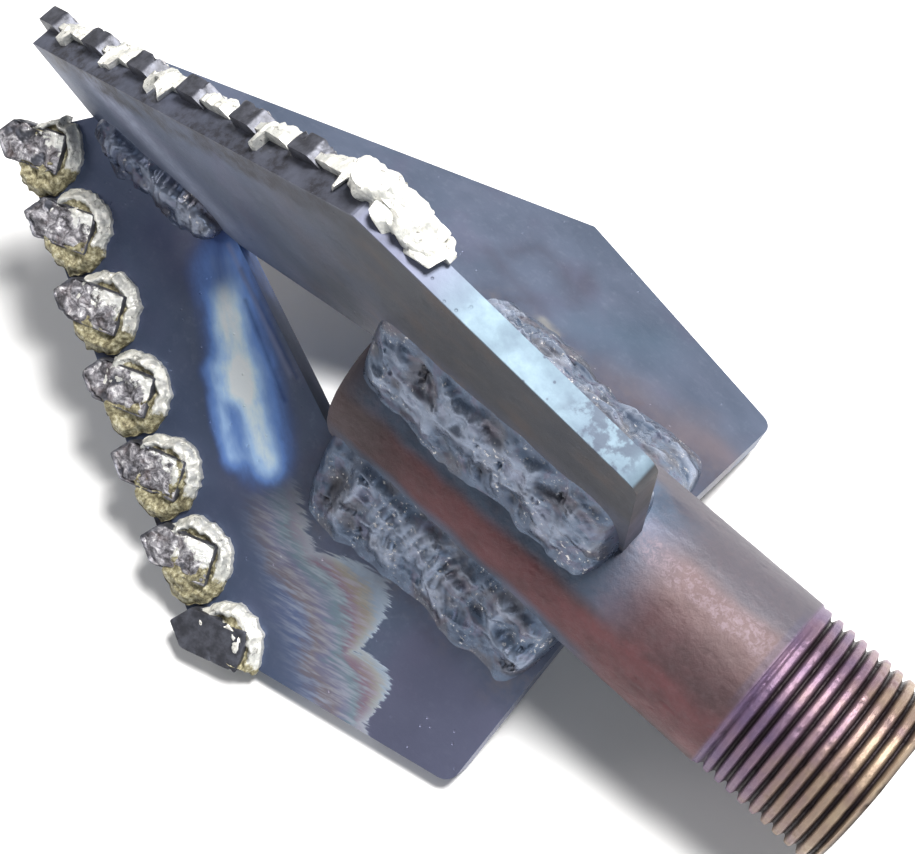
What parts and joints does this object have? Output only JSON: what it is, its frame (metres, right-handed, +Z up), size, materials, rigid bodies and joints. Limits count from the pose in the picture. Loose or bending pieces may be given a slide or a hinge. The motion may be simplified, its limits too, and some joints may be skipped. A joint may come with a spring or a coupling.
{
  "type": "three-wing drag drill bit",
  "caption": "Drag drill bit with plate blades welded to a threaded pipe shank and pointed cutters brazed along their edges.",
  "frame": {"origin": "on the bit's axis at the inner end of the shank's thread, where a coupling stops", "axes": "+Z up from the ground that the bit lies on; +X from the shank towards the nose, along the bit's axis as seen from above; the axis rises towards the nose by the rest tilt"},
  "size_m": [0.2511, 0.1491, 0.1291],
  "materials": {
    "shank_steel": "red-brown mill scale and rust on steel pipe, scuffed bright in places",
    "blade_steel": "hot-rolled plate with blue-grey heat tint, ground bright in places",
    "carbide": "dull dark grey sintered carbide",
    "braze_alloy": "bright silver-white braze with olive flux stains",
    "weld_metal": "rough dark blue-grey weld metal with bright specks"
  },
  "bodies": {
    "root": {"blade_left": "blade_steel", "blade_right": "blade_steel", "blade_top": "blade_steel", "braze_left_1": "braze_alloy", "braze_left_2": "braze_alloy", "braze_left_3": "braze_alloy", "braze_left_4": "braze_alloy", "braze_left_5": "braze_alloy", "braze_left_6": "braze_alloy", "braze_left_7": "braze_alloy", "braze_right_1": "braze_alloy", "braze_right_2": "braze_alloy", "braze_right_3": "braze_alloy", "braze_right_4": "braze_alloy", "braze_right_5": "braze_alloy", "braze_right_6": "braze_alloy", "braze_right_7": "braze_alloy", "braze_top_1": "braze_alloy", "braze_top_2": "braze_alloy", "braze_top_3": "braze_alloy", "braze_top_4": "braze_alloy", "braze_top_5": "braze_alloy", "braze_top_6": "braze_alloy", "braze_top_7": "braze_alloy", "cutter_left_1": "carbide", "cutter_left_2": "carbide", "cutter_left_3": "carbide", "cutter_left_4": "carbide", "cutter_left_5": "carbide", "cutter_left_6": "carbide", "cutter_left_7": "carbide", "cutter_right_1": "carbide", "cutter_right_2": "carbide", "cutter_right_3": "carbide", "cutter_right_4": "carbide", "cutter_right_5": "carbide", "cutter_right_6": "carbide", "cutter_right_7": "carbide", "cutter_top_1": "carbide", "cutter_top_2": "carbide", "cutter_top_3": "carbide", "cutter_top_4": "carbide", "cutter_top_5": "carbide", "cutter_top_6": "carbide", "cutter_top_7": "carbide", "nose_weld_left": "weld_metal", "nose_weld_right": "weld_metal", "nose_weld_top": "weld_metal", "shank_pipe": "shank_steel", "weld_left_leading": "weld_metal", "weld_left_trailing": "weld_metal", "weld_right_leading": "weld_metal", "weld_right_trailing": "weld_metal", "weld_top_leading": "weld_metal", "weld_top_trailing": "weld_metal"}
  },
  "joints": []
}
